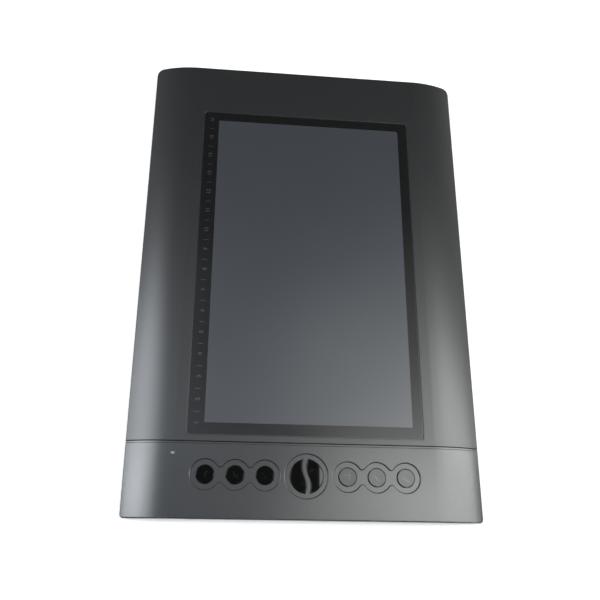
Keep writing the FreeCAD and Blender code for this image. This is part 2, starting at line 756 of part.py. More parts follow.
def half_disc(name, radius, from_bar, low, high):
    """The part of a disc left of the S-shaped bar, at the origin, from_bar off its middle line."""
    whole = disc(f"{name}_disc", dim(0), dim(0), low, high, radius)
    below = disc(f"{name}_below", -bar_centre_x, -bar_centre_y, low, high, bar_radius - from_bar)
    above = disc(f"{name}_above", bar_centre_x, bar_centre_y, low, high, bar_radius + from_bar)
    size = 2 * s.ring_radius
    upper = doc.addObject("Part::Box", f"{name}_upper")
    bind(upper, "Length", 2 * size)
    bind(upper, "Width", size)
    bind(upper, "Height", high - low)
    reach = bar_radius
    bind(upper, "Placement.Base.x", -size * bar_centre_x / reach)
    bind(upper, "Placement.Base.y", -size * bar_centre_y / reach)
    bind(upper, "Placement.Base.z", low)
    upper.Placement.Rotation = FreeCAD.Rotation(FreeCAD.Vector(0, 0, 1), 1)
    upper.setExpression("Placement.Rotation.Angle", f"atan2({bar_centre_y.text}; {bar_centre_x.text})")
    left = fuse(f"{name}_left", [below, upper])
    inside = common(f"{name}_inside", whole, left)
    return cut(name, inside, above)


def turned_copy(name, source, angle, x, y):
    """A copy of a solid that follows it, turned about Z and moved to x, y."""
    copy = doc.addObject("Part::Compound", name)
    copy.Links = [source]
    copy.Placement = FreeCAD.Placement(FreeCAD.Vector(), FreeCAD.Rotation(FreeCAD.Vector(0, 0, 1), angle))
    bind(copy, "Placement.Base.x", x)
    bind(copy, "Placement.Base.y", y)
    return copy


def round_key_places():
    left = [-s.first_key - step * s.key_pitch for step in (2, 1, 0)]
    right = [s.first_key + step * s.key_pitch for step in (0, 1, 2)]
    return left + right


def make_recess():
    """The shallow recess: a circle about each round key, joined by necks, and the middle ring."""
    low = recess_floor
    high = crown + s.recess_depth
    tools = [disc("ring_recess", dim(0), keys_y, low, high, s.ring_radius)]
    for number, x in enumerate(round_key_places(), start=1):
        tools.append(disc(f"key_recess_{number}", x, keys_y, low, high, s.recess_radius))
    half_pitch = s.key_pitch / 2
    tip = (half_pitch * half_pitch + s.neck_half * s.neck_half - s.recess_radius * s.recess_radius) \
        / (2 * (s.recess_radius - s.neck_half))
    tip_y = s.neck_half + tip
    share = s.recess_radius / (s.recess_radius + tip)
    for side in (-1, 1):
        for step in (0, 1):
            middle = side * (s.first_key + (step + 0.5) * s.key_pitch)
            name = f"neck_{'left' if side < 0 else 'right'}_{step}"
            reach_x = half_pitch * (1 - share)
            reach_y = tip_y * share
            bridge = block(f"{name}_block", middle - reach_x, middle + reach_x,
                           keys_y - reach_y, keys_y + reach_y, low, high)
            tips = [
                disc(f"{name}_tip_near", middle, keys_y - tip_y, low, high, tip),
                disc(f"{name}_tip_far", middle, keys_y + tip_y, low, high, tip),
            ]
            tools.append(cut(name, bridge, fuse(f"{name}_tips", tips)))
    return fuse("recess", tools)


def make_key_panel():
    """The panel with its recess, keyholes, lamp hole and socket hole."""
    shell = make_panel_shell()
    through_low = ceiling - s.cover_wall
    through_high = crown + s.recess_depth
    tools = [make_recess()]
    for number, x in enumerate(round_key_places(), start=1):
        tools.append(disc(f"keyhole_{number}", x, keys_y, through_low, through_high, s.key_hole_radius))
    opening = half_disc("half_keyhole", s.ring_hole_radius, s.bar_width / 2, through_low, through_high)
    tools.append(turned_copy("left_keyhole", opening, 0, dim(0), keys_y))
    tools.append(turned_copy("right_keyhole", opening, 180, dim(0), keys_y))
    half_x = s.lens_width / 2 + s.thread_gap
    half_y = s.lens_depth / 2 + s.thread_gap
    tools.append(block("lamp_hole", lamp_x - half_x, lamp_x + half_x, lamp_y - half_y, lamp_y + half_y,
                       through_low, through_high))
    gap = s.fit_gap
    tools.append(block("socket_hole", socket_left - gap, socket_right + gap, key_end - s.cover_wall,
                       key_end + s.cover_wall + gap, socket_bottom - gap, socket_top + gap))
    # The seam's ledge ends flush with the long sides
    ledge_near = seam_near - s.seam_round - gap
    outside = half_width + s.cover_wall
    tools.append(block("ledge_right_end", half_width, outside, ledge_near, seam_far, parting - gap, crown))
    tools.append(block("ledge_left_end", -outside, -half_width, ledge_near, seam_far, parting - gap, crown))
    panel = cut("panel_with_holes", shell, fuse("panel_openings", tools))
    body = rounded_edges("key_panel", panel, s.hole_round, lambda edge: key_edge(edge, recess_floor))
    round_body_edges(body, s.recess_round, lambda edge: key_edge(edge, crown), "recess_rim_round")
    return keep(body, "key_panel")


def key_edge(edge, height):
    """Edges round the keys at one height: the recess's rim at the top, the holes' rims on its floor."""
    box = edge.BoundBox
    if not (near_to(box.ZMin, height) and near_to(box.ZMax, height)):
        return False
    point = middle_of(edge)
    x = abs(point.x)
    y = abs(point.y - keys_y.value)
    if height is crown:
        reach = s.first_key + 2 * s.key_pitch + s.recess_radius
        return x < reach.value + 0.1 and y < s.ring_radius.value + 0.1
    if math.hypot(x, y) < s.ring_hole_radius.value + 0.01:
        return True
    holes = [place.value for place in round_key_places()]
    return any(abs(math.hypot(point.x - hole, y) - s.key_hole_radius.value) < 0.01 for hole in holes)


# USB socket: half sunk in a notch of the main board, mouth in the key end

socket_x = s.socket_from_side - half_width
socket_left = socket_x - s.socket_width / 2
socket_right = socket_x + s.socket_width / 2
socket_bottom = board_bottom - s.socket_sink
socket_top = socket_bottom + s.socket_height
socket_near = key_end + s.socket_inset
socket_far = socket_near + s.socket_length
socket_middle_z = (socket_bottom + socket_top) / 2


def make_socket():
    wall = s.socket_wall
    outer = block("socket_outer", socket_left, socket_right, socket_near, socket_far, socket_bottom, socket_top)
    inner = block("socket_inner", socket_left + wall, socket_right - wall, socket_near - wall,
                  socket_far + wall, socket_bottom + wall, socket_top - wall)
    tube = cut("socket_tube", outer, inner)
    tab_near = board_near + s.socket_tab_near
    tab_far = tab_near + s.socket_tab_length
    tabs = [
        block("socket_tab_left", socket_left - s.socket_tab_width, socket_left + wall,
              tab_near, tab_far, board_top, board_top + wall),
        block("socket_tab_right", socket_right - wall, socket_right + s.socket_tab_width,
              tab_near, tab_far, board_top, board_top + wall),
    ]
    keep(fuse("usb_socket_shell", [tube] + tabs), "usb_socket_shell")

    back_near = socket_far - s.socket_back
    back = block("socket_back_block", socket_left + wall, socket_right - wall, back_near, socket_far,
                 socket_bottom + wall, socket_top - wall)
    half = s.tongue_thickness / 2
    tongue = block("socket_tongue_plate", socket_x - s.tongue_width / 2, socket_x + s.tongue_width / 2,
                   back_near - s.tongue_length, back_near, socket_middle_z - half, socket_middle_z + half)
    body = fuse("tongue_and_back", [back, tongue])
    contacts = []
    slots = []
    tail_far = socket_far + s.contact_beyond
    tail_near = tail_far - s.contact_thickness
    for number in range(5):
        x = socket_x + (number - 2) * s.contact_pitch
        half_wide = s.contact_width / 2
        low = socket_middle_z + half
        finger = block(f"contact_finger_{number}", x - half_wide, x + half_wide,
                       back_near - s.tongue_length + s.socket_wall, tail_far,
                       low, low + s.contact_thickness)
        tail = block(f"contact_tail_{number}", x - half_wide, x + half_wide, tail_near, tail_far,
                     board_top, low)
        foot = block(f"contact_foot_{number}", x - half_wide, x + half_wide,
                     tail_near, tail_near + s.contact_foot, board_top, board_top + s.contact_thickness)
        contacts.append(fuse(f"contact_{number}", [finger, tail, foot]))
        slots.append(block(f"contact_slot_{number}", x - half_wide, x + half_wide,
                           back_near - s.contact_width, socket_far + s.contact_width,
                           low, low + s.contact_thickness))
    keep(cut("usb_socket_tongue", body, fuse("contact_slots", slots)), "usb_socket_tongue")
    keep(group("usb_socket_contacts", contacts), "usb_socket_contacts")


# Keys

cap_top = crown - s.key_below_top
flange_top = ceiling - s.key_play
flange_bottom = flange_top - s.key_flange_thickness
plunger_top = board_top + s.switch_height + s.plunger_proud


def make_round_key(name, x):
    """A round cap with a flange under the panel and a post down to its switch."""
    body = new_body(name)
    cap = sketch_on(body, f"{name}_cap", "XY_Plane", flange_bottom)
    add_circles(cap, [(dim(0), dim(0))], s.key_hole_radius - s.key_gap)
    pad(body, cap, cap_top - flange_bottom, f"{name}_cap_pad")
    flange = sketch_on(body, f"{name}_flange", "XY_Plane", flange_bottom)
    add_circles(flange, [(dim(0), dim(0))], s.key_hole_radius - s.key_gap + s.key_flange)
    pad(body, flange, s.key_flange_thickness, f"{name}_flange_pad")
    post = sketch_on(body, f"{name}_post", "XY_Plane", plunger_top)
    add_circles(post, [(dim(0), dim(0))], s.stem_radius)
    pad(body, post, flange_bottom - plunger_top + s.key_flange_thickness, f"{name}_post_pad")
    round_body_edges(body, s.key_rim_round, lambda edge: near_to(edge.BoundBox.ZMin, cap_top),
                     f"{name}_rim")
    bind(body, "Placement.Base.x", x)
    bind(body, "Placement.Base.y", keys_y)
    return keep(body, name)


def make_half_key(name, angle):
    """One of the two caps beside the S-shaped bar; the second is the first turned half round."""
    from_bar = s.bar_width / 2 + s.key_gap
    radius = s.ring_hole_radius - s.key_gap
    cap = half_disc(f"{name}_cap", radius, from_bar, flange_bottom, cap_top)
    flange = half_disc(f"{name}_flange", radius + s.key_flange, from_bar - s.bar_flange,
                       flange_bottom, flange_top)
    post = disc(f"{name}_post", -s.half_key_stem, dim(0), plunger_top, flange_top, s.stem_radius)
    solid = fuse(f"{name}_solid", [cap, flange, post])
    body = rounded_edges(name, solid, s.key_rim_round, lambda edge: near_to(edge.BoundBox.ZMin, cap_top))
    body.Placement = FreeCAD.Placement(FreeCAD.Vector(), FreeCAD.Rotation(FreeCAD.Vector(0, 0, 1), angle))
    bind(body, "Placement.Base.x", dim(0))
    bind(body, "Placement.Base.y", keys_y)
    return keep(body, name)


def make_switch(number, x, y):
    """A tactile switch: a square body with a bore, and the plunger that the key's post pushes."""
    side = s.switch_side
    top = board_top + s.switch_height
    bore_floor = top - s.plunger_root - s.key_travel - s.plunger_gap
    body = plate(f"switch_body_{number}", centred(x, y, side, side), board_top, top)
    bore = sketch_on(body, f"switch_bore_{number}", "XY_Plane", top)
    add_circles(bore, [(x, y)], s.plunger_radius + s.plunger_gap)
    pocket(body, bore, top - bore_floor, f"switch_bore_cut_{number}")
    keep(body, f"switch_body_{number}")
    plunger = disc(f"switch_plunger_{number}", x, y, top - s.plunger_root, plunger_top, s.plunger_radius)
    keep(plunger, f"switch_plunger_{number}")


# Status lamp


def make_lamp():
    keep(standing("lamp_diode", lamp_x, lamp_y, s.diode_width, s.diode_depth, s.diode_height), "lamp_diode")
    low = board_top + s.diode_height + s.fit_gap
    outline = centred(lamp_x, lamp_y, s.lens_width, s.lens_depth)
    column = plate("lamp_lens", outline, low, crown - s.lens_below_top)
    flange = sketch_on(column, "lens_flange_outline", "XY_Plane", ceiling - s.lens_play - s.lens_flange)
    across = s.lens_width + 2 * s.lens_flange
    add_outline(flange, centred(lamp_x, lamp_y, across, s.lens_depth + 2 * s.lens_flange))
    pad(column, flange, s.lens_flange, "lens_flange")
    keep(column, "lamp_lens")


# Overlay sheet and the sensor stack beneath it


def make_sheet():
    body = plate("drawing_sheet", rectangle(sheet_left, sheet_right, sheet_near, sheet_far, True),
                 sheet_bottom, sheet_top - s.border_step, s.sheet_radius)
    area = sketch_on(body, "drawing_area_outline", "XY_Plane", sheet_top - s.border_step)
    add_outline(area, rectangle(sheet_left + s.area_left, sheet_right - s.area_right,
                                sheet_near + s.area_near, sheet_far - s.area_far))
    pad(body, area, s.border_step, "drawing_area")
    keep(body, "drawing_sheet")
    adhesive = plate("sheet_adhesive", rectangle(sheet_left, sheet_right, sheet_near, sheet_far, True),
                     adhesive_bottom, sheet_bottom, s.sheet_radius)
    keep(adhesive, "sheet_adhesive")


def make_sensor_stack():
    sensor = rectangle(sensor_left, sensor_right, sensor_near, sensor_far)
    keep(plate("sensor_board", sensor, sensor_bottom, ceiling), "sensor_board")
    shield = rectangle(shield_left, shield_right, shield_near, shield_far)
    keep(plate("insulating_film", shield, film_bottom, sensor_bottom), "insulating_film")
    keep(plate("shield_plate", shield, shield_bottom, film_bottom), "shield_plate")


def spread(first, last, count):
    """Evenly spaced places from first to last."""
    return [first + (last - first) * (step / (count - 1)) for step in range(count)]


def rib_rows():
    return spread(shield_near + s.rib_from_shield, shield_far - s.rib_from_shield, 6)


def rib_columns():
    return spread(shield_left + s.rib_from_side, shield_right - s.rib_from_side, 3)


def make_foam_pads():
    pads = []
    for row, y in enumerate(rib_rows(), start=1):
        for column, x in enumerate(rib_columns(), start=1):
            half = s.pad_side / 2
            pads.append(block(f"foam_pad_{row}_{column}", x - half, x + half, y - half, y + half,
                              rib_top, shield_bottom))
    keep(group("foam_pads", pads), "foam_pads")


# Rear cover, feet and screws


def foot_places():
    x = half_width - s.foot_from_side
    y = half_length - s.foot_from_end
    return [(side * x, row * y) for row in (-1, 0, 1) for side in (-1, 1)]


def make_rear_cover():
    """A flat plate with a thin flange to the outline, ribs, screw towers and board posts."""
    corners = [
        (-half_width, key_end, s.near_corner_radius),
        (half_width, key_end, s.near_corner_radius),
        (half_width, far_end, s.far_corner_radius),
        (-half_width, far_end, s.far_corner_radius),
    ]
    body = plate("rear_cover", corners, s.stand_off, parting)
    round_body_edges(body, s.rear_round, lambda edge: near_to(edge.BoundBox.ZMax, s.stand_off), "rear_rim")
    inner_x = arch_reach(plate_top, s.cover_wall) - s.fit_gap
    inner_y = half_length - s.cover_wall - s.fit_gap
    step = sketch_on(body, "rear_step_outline", "XY_Plane", parting)
    add_outline(step, rectangle(-inner_x, inner_x, -inner_y, inner_y))
    pad(body, step, s.plate_rise, "rear_step")
    rows = rib_rows()
    columns = rib_columns()
    half_rib = s.rib_width / 2
    for number, y in enumerate(rows, start=1):
        rib = sketch_on(body, f"cross_rib_{number}_outline", "XY_Plane", plate_top)
        add_outline(rib, rectangle(columns[0] - s.rib_tail, columns[-1] + s.rib_tail, y - half_rib, y + half_rib))
        pad(body, rib, s.rib_height, f"cross_rib_{number}")
    for number, x in enumerate(columns, start=1):
        rib = sketch_on(body, f"long_rib_{number}_outline", "XY_Plane", plate_top)
        add_outline(rib, rectangle(x - half_rib, x + half_rib, rows[0] - s.rib_tail, rows[-1] + s.rib_tail))
        pad(body, rib, s.rib_height, f"long_rib_{number}")
    screws = side_screws + end_screws + panel_screws
    towers = sketch_on(body, "tower_outline", "XY_Plane", plate_top)
    add_circles(towers, screws, s.tower_radius)
    pad(body, towers, s.tower_height, "screw_towers")
    posts = sketch_on(body, "post_outline", "XY_Plane", plate_top)
    add_circles(posts, board_screw_places(), s.post_radius)
    pad(body, posts, s.post_height, "board_posts")
    heads = sketch_on(body, "screw_pocket_outline", "XY_Plane", s.stand_off)
    add_circles(heads, screws, s.case_head_radius + s.hole_gap)
    pocket(body, heads, s.case_screw_depth, "screw_pockets", upward=True)
    holes = sketch_on(body, "screw_hole_outline", "XY_Plane", screw_seat)
    add_circles(holes, screws, s.case_screw_radius + s.hole_gap)
    pocket(body, holes, boss_bottom - screw_seat, "screw_holes", upward=True)
    threads = sketch_on(body, "board_thread_outline", "XY_Plane", board_bottom)
    add_circles(threads, board_screw_places(), s.board_screw_radius + s.thread_gap)
    pocket(body, threads, s.board_screw_grip + s.thread_gap, "board_threads")
    seats = sketch_on(body, "foot_seat_outline", "XY_Plane", s.stand_off)
    for x, y in foot_places():
        length = s.foot_length + s.fit_gap
        add_outline(seats, centred(x, y, length, s.foot_width + s.fit_gap, True), s.foot_radius)
    pocket(body, seats, s.foot_seat, "foot_seats", upward=True)
    return keep(body, "rear_cover")


def make_feet():
    for number, (x, y) in enumerate(foot_places(), start=1):
        foot = plate(f"rubber_foot_{number}", centred(x, y, s.foot_length, s.foot_width, True),
                     dim(0), s.stand_off + s.foot_seat, s.foot_radius)
        keep(foot, f"rubber_foot_{number}")


def make_screw(name, x, y, seat, upward, shank, head, head_height, length):
    """A pan-head screw with a cross recess; upward says that the shank points up."""
    way = 1 if upward else -1
    head_end = seat - way * head_height
    shank_end = seat + way * length
    low, high = (head_end, seat) if upward else (seat, head_end)
    top = disc(f"{name}_head", x, y, low, high, head)
    low, high = (seat, shank_end) if upward else (shank_end, seat)
    stem = disc(f"{name}_shank", x, y, low, high, shank)
    depth = s.cross_depth
    low, high = (head_end, head_end + depth) if upward else (head_end - depth, head_end)
    half_slot = s.cross_width / 2
    reach = shank + s.cross_beyond
    slots = [
        block(f"{name}_slot_x", x - reach, x + reach, y - half_slot, y + half_slot, low, high),
        block(f"{name}_slot_y", x - half_slot, x + half_slot, y - reach, y + reach, low, high),
    ]
    return cut(name, fuse(f"{name}_solid", [top, stem]), fuse(f"{name}_slots", slots))


def make_case_screws():
    screws = []
    for number, (x, y) in enumerate(side_screws + end_screws + panel_screws, start=1):
        length = boss_bottom - screw_seat + s.case_screw_grip
        screws.append(make_screw(f"case_screw_{number}", x, y, screw_seat, True, s.case_screw_radius,
                                 s.case_head_radius, s.case_head_height, length))
    keep(group("case_screws", screws), "case_screws")


# Main board and what it carries


def board_screw_places():
    """Two near corners, two near the middle, and two at the far side beyond the keys."""
    near = board_near + s.board_screw_near
    far = board_far - s.board_screw_far
    right = [
        (board_half - s.board_screw_side, near),
        (s.board_screw_middle, near),
        (board_half - s.board_screw_far_side, far),
    ]
    return [(side * x, y) for side in (-1, 1) for x, y in right]


def make_main_board():
    notch_left = socket_left - s.fit_gap
    notch_right = socket_right + s.fit_gap
    notch_far = socket_far + s.fit_gap
    corners = [
        (-board_half, board_near, False),
        (notch_left, board_near, False),
        (notch_left, notch_far, False),
        (notch_right, notch_far, False),
        (notch_right, board_near, False),
        (board_half, board_near, False),
        (board_half, board_far, False),
        (-board_half, board_far, False),
    ]
    body = plate("main_board", corners, board_bottom, board_top)
    holes = sketch_on(body, "board_hole_outline", "XY_Plane", board_top)
    add_circles(holes, board_screw_places(), s.board_screw_radius + s.hole_gap)
    pocket(body, holes, s.board_thickness, "board_holes")
    keep(body, "main_board")
    screws = []
    for number, (x, y) in enumerate(board_screw_places(), start=1):
        length = s.board_thickness + s.board_screw_grip
        screws.append(make_screw(f"board_screw_{number}", x, y, board_top, False, s.board_screw_radius,
                                 s.board_head_radius, s.board_head_height, length))
    keep(group("board_screws", screws), "board_screws")


def standing(name, x, y, along, across, height):
    """A small block that stands on the main board."""
    return block(name, x - along / 2, x + along / 2, y - across / 2, y + across / 2,
                 board_top, board_top + height)


def make_components():
    chip_x = -s.chip_from_middle
    chip_y = key_end + s.chip_from_end
    keep(standing("controller_chip", chip_x, chip_y, s.chip_side, s.chip_side, s.chip_height),
         "controller_chip")
    crystal_x = chip_x - s.chip_side
    keep(standing("crystal", crystal_x, chip_y, s.crystal_length, s.crystal_width, s.crystal_height),
         "crystal")
    chips = []
    chip_row = board_far - s.multiplexer_width
    for side in (-1, 1):
        for step in (0, 1):
            x = side * (s.multiplexer_first + step * s.multiplexer_pitch)
            chips.append(standing(f"multiplexer_{len(chips) + 1}", x, chip_row, s.multiplexer_length,
                                  s.multiplexer_width, s.multiplexer_height))
    keep(group("multiplexer_chips", chips), "multiplexer_chips")
    capacitors = []
    right = [s.capacitor_first + step * s.capacitor_pitch for step in range(6)]
    left = [step * s.capacitor_pitch - s.capacitor_first for step in range(2)]
    for number, x in enumerate(left + right, start=1):
        capacitors.append(standing(f"capacitor_{number}", x, chip_y, s.capacitor_length,
                                   s.capacitor_width, s.capacitor_height))
    keep(group("capacitors", capacitors), "capacitors")


def make_connector(name, near, low, slot_near, slot_far):
    """A ribbon connector: a long block with a slot for the ribbon's end."""
    half = s.ribbon_width / 2 + s.connector_wall
    housing = block(f"{name}_housing", -half, half, near, near + s.connector_depth,
                    low, low + s.connector_height)
    half = s.ribbon_width / 2 + s.fit_gap
    half_slot = s.slot_height / 2
    slot = block(f"{name}_slot", -half, half, slot_near, slot_far,
                 ribbon_middle - half_slot, ribbon_middle + half_slot)
    return keep(cut(name, housing, slot), name)


def make_ribbon():
    """The flat ribbon from the main board, under the seam, to the sensor board's near edge."""
    board_slot_near = board_far - s.ribbon_engagement - s.fit_gap
    make_connector("board_connector", board_far - s.connector_depth, board_top,
                   board_slot_near, board_far + s.fit_gap)
    sensor_slot_near = sensor_near + s.fit_gap
    sensor_slot_far = sensor_slot_near + s.ribbon_engagement + s.fit_gap
    make_connector("sensor_connector", sensor_slot_near, sensor_bottom - s.connector_height,
                   sensor_slot_near - s.fit_gap, sensor_slot_far)
    half = s.ribbon_width / 2
    half_thick = s.ribbon_thickness / 2
    ribbon = block("ribbon_cable", -half, half, board_slot_near + s.fit_gap, sensor_slot_far - s.fit_gap,
                   ribbon_middle - half_thick, ribbon_middle + half_thick)
    keep(ribbon, "ribbon_cable")


# Build every piece

make_front_cover()
make_key_panel()
make_rear_cover()
make_feet()
make_sheet()
make_sensor_stack()
make_foam_pads()
make_main_board()
make_socket()
make_components()
make_ribbon()
make_lamp()
make_case_screws()

for number, place in enumerate(round_key_places(), start=1):
    make_round_key(f"round_key_{number}", place)
    make_switch(number, place, keys_y)
make_half_key("half_key_left", 0)
make_half_key("half_key_right", 180)
make_switch(7, -s.half_key_stem, keys_y)
make_switch(8, s.half_key_stem, keys_y)

doc.recompute()

# Check every object, then write each piece to its own file

for thing in doc.Objects:
    if "Invalid" in thing.State or "Error" in thing.State:
        raise ValueError(f"{thing.Label} failed: {thing.State}")
for piece in finished:
    if piece.Shape.isNull() or not piece.Shape.isValid():
        raise ValueError(f"{piece.Label} has no valid shape")

os.makedirs("parts", exist_ok=True)
for piece in finished:
    piece.Shape.exportStep(f"parts/{piece.Label}.step")
    print(piece.Label, len(piece.Shape.Solids), round(piece.Shape.Volume, 2))
print(len(finished), "pieces")
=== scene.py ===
# %% [markdown]
# # A graphics tablet in its studio
# The tablet is a flat board for drawing with a pen. Its solids come ready made from the packed
# model, so this lesson gives them their plastics, film and metal, prints the small marks on
# them, and lights the lot. Everything is in metres, and the rubber feet stand on z = 0.

# %% Load the frame
import math

import bpy
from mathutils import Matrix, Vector


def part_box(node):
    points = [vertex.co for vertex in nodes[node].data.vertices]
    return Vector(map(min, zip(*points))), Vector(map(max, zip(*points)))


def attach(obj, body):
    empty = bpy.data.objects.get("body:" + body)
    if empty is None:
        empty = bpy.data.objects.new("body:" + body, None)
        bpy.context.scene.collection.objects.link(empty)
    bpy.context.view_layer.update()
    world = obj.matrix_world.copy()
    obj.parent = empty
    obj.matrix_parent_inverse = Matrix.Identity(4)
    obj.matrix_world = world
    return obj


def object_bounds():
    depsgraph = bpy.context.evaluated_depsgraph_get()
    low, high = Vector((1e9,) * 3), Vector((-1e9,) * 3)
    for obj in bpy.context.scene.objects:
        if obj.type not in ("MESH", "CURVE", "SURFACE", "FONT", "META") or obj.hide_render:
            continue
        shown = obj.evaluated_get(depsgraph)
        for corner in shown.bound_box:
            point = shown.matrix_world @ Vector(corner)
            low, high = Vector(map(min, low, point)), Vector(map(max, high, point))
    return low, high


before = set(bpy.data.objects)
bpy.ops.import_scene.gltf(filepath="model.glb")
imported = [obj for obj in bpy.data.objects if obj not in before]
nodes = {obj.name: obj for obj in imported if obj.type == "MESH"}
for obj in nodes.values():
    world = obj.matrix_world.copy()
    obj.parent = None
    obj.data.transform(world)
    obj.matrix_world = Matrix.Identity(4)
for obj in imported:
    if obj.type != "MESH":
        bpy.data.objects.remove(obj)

cad_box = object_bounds()
scene = bpy.context.scene
MM = 0.001
print("tablet, mm:", [round(size / MM, 1) for size in cad_box[1] - cad_box[0]])

# %% [markdown]
# ## The camera first
# The photograph looks down on the tablet from above its key end, a little from the left. The
# camera could be aimed at a target, but a measured place and three angles repeat exactly.
# The small shift only moves the picture in the frame. The sensor and the lens are in millimetres,
# the place is in metres and the angles are in degrees.

# %% Camera
SENSOR_WIDTH = 36
FOCAL_LENGTH = 39.615
CAMERA_PLACE = (-0.05784, -0.18706, 0.46149)
CAMERA_ANGLES = (18.931, -5.109, 0.712)
SHIFT_X = 0.0333
SHIFT_Y = 0.0167
camera_data = bpy.data.cameras.new("camera")
camera_data.sensor_width = SENSOR_WIDTH
camera_data.lens = FOCAL_LENGTH
camera_data.shift_x = SHIFT_X
camera_data.shift_y = SHIFT_Y
camera = bpy.data.objects.new("camera", camera_data)
camera.location = CAMERA_PLACE
camera.rotation_euler = [math.radians(angle) for angle in CAMERA_ANGLES]
scene.collection.objects.link(camera)
scene.camera = camera
print("camera height, mm:", round(camera.location.z / MM))

# %% [markdown]
# ## Shader maths as Python
# A material's pattern is arithmetic on coordinates. Wiring each Math node by hand hides that,
# so one small class wraps a socket: adding or multiplying two of them adds the node that does
# it. Any other node comes from its `node` method, which first sets the node's settings and then
# fills its sockets with numbers or with links.

# %% A socket that can be calculated with
class Wire:
    """A socket of a shader tree; arithmetic on it adds the nodes that do the sum."""

    def __init__(self, tree, socket=None):
        self.tree = tree
        self.socket = socket

    def node(self, kind, settings, sockets, out=0):
        """Add a node: its settings first, then a value or a link for each socket that is named."""
        made = self.tree.nodes.new(kind)
        for name, value in settings.items():
            setattr(made, name, value)
        for name, value in sockets.items():
            if isinstance(value, Wire):
                self.tree.links.new(value.socket, made.inputs[name])
            else:
                made.inputs[name].default_value = value
        return Wire(self.tree, made.outputs[out]) if len(made.outputs) else None

    def maths(self, operation, first, second=0.0):
        return self.node("ShaderNodeMath", {"operation": operation}, {0: first, 1: second})

    def __add__(self, other):
        return self.maths("ADD", self, other)

    def __sub__(self, other):
        return self.maths("SUBTRACT", self, other)

    def __rsub__(self, other):
        return self.maths("SUBTRACT", other, self)

    def __mul__(self, other):
        return self.maths("MULTIPLY", self, other)

    def __gt__(self, other):
        return self.maths("GREATER_THAN", self, other)

    def __lt__(self, other):
        return self.maths("LESS_THAN", self, other)

    __radd__ = __add__
    __rmul__ = __mul__

    def mix(self, off, on):
        """The colour off where this mask is 0 and on where it is 1."""
        return self.node("ShaderNodeMix", {"data_type": "RGBA"}, {0: self, 6: off, 7: on}, out=2)


# %% [markdown]
# ## What most finishes share
# Moulded, rolled or cast, nearly each part has a fine grain that catches the light and a very
# faint cloudiness in its colour. Noise in object space gives both. The frame keeps each part's
# place in its mesh, so those coordinates are real metres, and a grain size can be written in
# millimetres.

# %% A tree, its coordinates and a grey
def start(name):
    """A new material and the empty tree to fill."""
    material = bpy.data.materials.new(name)
    material.use_nodes = True
    material.node_tree.nodes.clear()
    return material, Wire(material.node_tree)


def place_of(tree):
    """Where a point is on the part, in metres."""
    return tree.node("ShaderNodeTexCoord", {}, {}, out="Object")


def along(tree, place, axis):
    """One coordinate of a place; the axis is X, Y or Z."""
    return tree.node("ShaderNodeSeparateXYZ", {}, {0: place}, out=axis)


def grey(level, warmth=0.0):
    """A grey as a colour; warmth below 0 makes it cooler."""
    return (level * (1 + warmth), level, level * (1 - warmth), 1)


# %% Noise, bump and the shader itself
def noise(tree, place, size, detail=2.0):
    """Noise from 0 to 1 whose lumps are about this size, in metres."""
    sockets = {"Vector": place, "Scale": 1 / size, "Detail": detail, "Roughness": 0.55}
    return tree.node("ShaderNodeTexNoise", {}, sockets)


def bump(tree, height, depth):
    """A Normal from a height between 0 and 1, where 1 is this deep in metres."""
    return tree.node("ShaderNodeBump", {}, {"Height": height, "Distance": depth, "Strength": 1.0})


def principled(tree, **sockets):
    """The principled shader. Underscores in the names stand for spaces."""
    named = {name.replace("_", " "): value for name, value in sockets.items()}
    return tree.node("ShaderNodeBsdfPrincipled", {}, named)


def close(material, tree, shader):
    """End a tree in its output."""
    tree.node("ShaderNodeOutputMaterial", {}, {"Surface": shader})
    return material


# %% The shared finish
CLOUD_SIZE = 18 * MM


def finish_of(name, colour, roughness, grain=0.4 * MM, depth=0.004 * MM, cloud=0.06, metallic=0.0,
              spread=0.08, **more):
    """A finish with grain in its surface and a faint cloud in its colour."""
    material, tree = start(name)
    place = place_of(tree)
    fine = noise(tree, place, grain)
    wide = noise(tree, place, CLOUD_SIZE, detail=3.0)
    shade = (wide - 0.5) * cloud * 2 + (fine - 0.5) * cloud + 1
    tinted = tree.node("ShaderNodeMix", {"data_type": "RGBA", "blend_type": "MULTIPLY"},
                       {0: 1.0, 6: colour, 7: shade}, out=2)
    return close(material, tree, principled(
        tree, Base_Color=tinted, Roughness=(fine - 0.5) * spread + roughness, Metallic=metallic,
        Normal=bump(tree, fine, depth), **more))


def dress(material, *names):
    """Give CAD nodes a material; a name that ends in * stands for all that begin so."""
    count = 0
    for name in names:
        for node_name, node in nodes.items():
            if node_name == name or (name.endswith("*") and node_name.startswith(name[:-1])):
                for slot in node.material_slots:
                    slot.material = material
                count += 1
    print(material.name, "on", count)


# %% [markdown]
# ## The covers
# The casing is moulded dark grey plastic with a satin spark-eroded grain. A paler colour with less
# gloss could match one spot of the photograph, but then the rolled sides would lose their bright
# bands. So the colour is dark, most of the light comes back as gloss, and the roughness decides
# how far it spreads. The key panel was polished finer in its mould than the front cover, and the
# light ends more sharply on it. The rear cover is coarser and nearly black.

